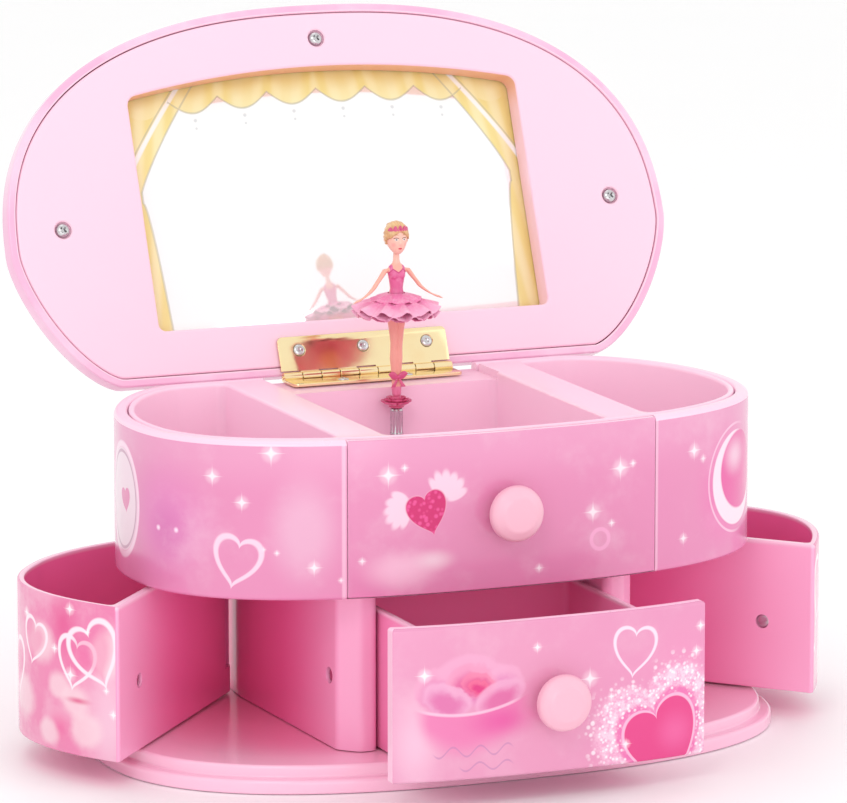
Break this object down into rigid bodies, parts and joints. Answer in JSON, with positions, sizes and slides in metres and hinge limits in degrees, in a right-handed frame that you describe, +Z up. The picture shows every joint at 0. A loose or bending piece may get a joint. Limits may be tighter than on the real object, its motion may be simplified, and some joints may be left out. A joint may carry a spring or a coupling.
{
  "type": "ballerina jewellery box",
  "caption": "Oval musical jewellery box with a hinged mirror lid, open compartments, a pull-out drawer, swing-out side trays and a turning, folding dancer.",
  "frame": {"origin": "on the table under the middle of the case outline, on the underside of the base", "axes": "+X to the right seen from the front, +Y towards the back and the hinge, +Z up"},
  "size_m": [0.26, 0.2114, 0.2148],
  "materials": {
    "pink_gloss": "glossy pink",
    "pink_light": "light pink, satin",
    "pink_printed": "pink with soft printed pictures",
    "knob_pink": "pale pink, satin",
    "brass": "polished",
    "steel": "plain",
    "cast_metal": "as cast",
    "mirror": "silvered",
    "magenta": "satin",
    "skin": "satin",
    "white_plastic": "plain"
  },
  "bodies": {
    "case": {"base_plate": "pink_gloss", "base_screw_1": "steel", "base_screw_2": "steel", "base_screw_3": "steel", "base_screw_4": "steel", "lower_frame": "pink_gloss", "case_catch_left": "steel", "case_catch_right": "steel", "middle_shell": "pink_printed", "middle_front_panel": "pink_printed", "middle_knob": "knob_pink", "middle_knob_screw": "steel", "top_tray": "pink_light", "tray_pin_left": "steel", "tray_pin_right": "steel", "hinge_leaf_case": "brass", "hinge_pin": "brass", "hinge_case_screw_1": "steel", "hinge_case_screw_2": "steel", "dancer_socket": "white_plastic", "dancer_fold_pin": "steel", "movement_bed": "cast_metal", "movement_comb": "steel", "movement_screw_1": "steel", "movement_screw_2": "steel"},
    "lid": {"lid_shell": "pink_printed", "lid_panel": "pink_light", "lid_mirror": "mirror", "lid_panel_screw_1": "steel", "lid_panel_screw_2": "steel", "lid_panel_screw_3": "steel", "hinge_leaf_lid": "brass", "hinge_lid_screw_1": "steel", "hinge_lid_screw_2": "steel", "hinge_lid_screw_3": "steel"},
    "drawer": {"drawer_box": "pink_gloss", "drawer_front": "pink_printed", "drawer_knob": "knob_pink", "drawer_knob_screw": "steel"},
    "tray_left": {"tray_left": "pink_printed", "tray_left_catch": "steel"},
    "tray_right": {"tray_right": "pink_printed", "tray_right_catch": "steel"},
    "dancer_fold": {"dancer_fold_link": "white_plastic"},
    "dancer": {"dancer_rod": "steel", "dancer_flower": "magenta", "dancer_figure": "skin", "dancer_tutu": "magenta"},
    "barrel": {"movement_barrel": "brass"},
    "cylinder": {"movement_cylinder": "brass"},
    "governor": {"movement_governor": "brass"},
    "key": {"winding_key": "steel"}
  },
  "joints": [
    {"name": "lid_hinge", "type": "hinge", "parent": "case", "child": "lid", "pos_m": [0, 0.0515, 0.1044], "axis": [1, 0, 0], "range_deg": [0, 112]},
    {"name": "drawer_slide", "type": "slide", "parent": "case", "child": "drawer", "axis": [0, -1, 0], "range_m": [-0.035, 0.018]},
    {"name": "tray_left_swing", "type": "hinge", "parent": "case", "child": "tray_left", "pos_m": [-0.056, 0.042, 0], "axis": [0, 0, 1], "range_deg": [-35, 41]},
    {"name": "tray_right_swing", "type": "hinge", "parent": "case", "child": "tray_right", "pos_m": [0.056, 0.042, 0], "axis": [0, 0, -1], "range_deg": [-35, 41]},
    {"name": "dancer_fold", "type": "hinge", "parent": "case", "child": "dancer_fold", "pos_m": [0, 0.028, 0.08], "axis": [1, 0, 0], "range_deg": [0, 90]},
    {"name": "dancer_spin", "type": "hinge", "parent": "dancer_fold", "child": "dancer", "pos_m": [0, 0.028, 0.08], "axis": [0, 0, 1], "continuous": true},
    {"name": "barrel_spin", "type": "hinge", "parent": "case", "child": "barrel", "pos_m": [0, 0.028, 0.02], "axis": [0, 0, 1], "continuous": true},
    {"name": "cylinder_spin", "type": "hinge", "parent": "case", "child": "cylinder", "pos_m": [0.0221, 0.028, 0.019], "axis": [1, 0, 0], "continuous": true},
    {"name": "governor_spin", "type": "hinge", "parent": "case", "child": "governor", "pos_m": [-0.0135, 0.028, 0.02], "axis": [0, 0, 1], "continuous": true},
    {"name": "key_turn", "type": "hinge", "parent": "case", "child": "key", "pos_m": [0, 0.0534, 0.019], "axis": [0, 1, 0], "continuous": true}
  ],
  "couplings": [
    {"joint": "dancer_fold", "follows": "lid_hinge", "ratio": 0.8},
    {"joint": "dancer_spin", "follows": "barrel_spin", "ratio": 1},
    {"joint": "cylinder_spin", "follows": "barrel_spin", "ratio": -2.8},
    {"joint": "governor_spin", "follows": "barrel_spin", "ratio": -5.2}
  ]
}
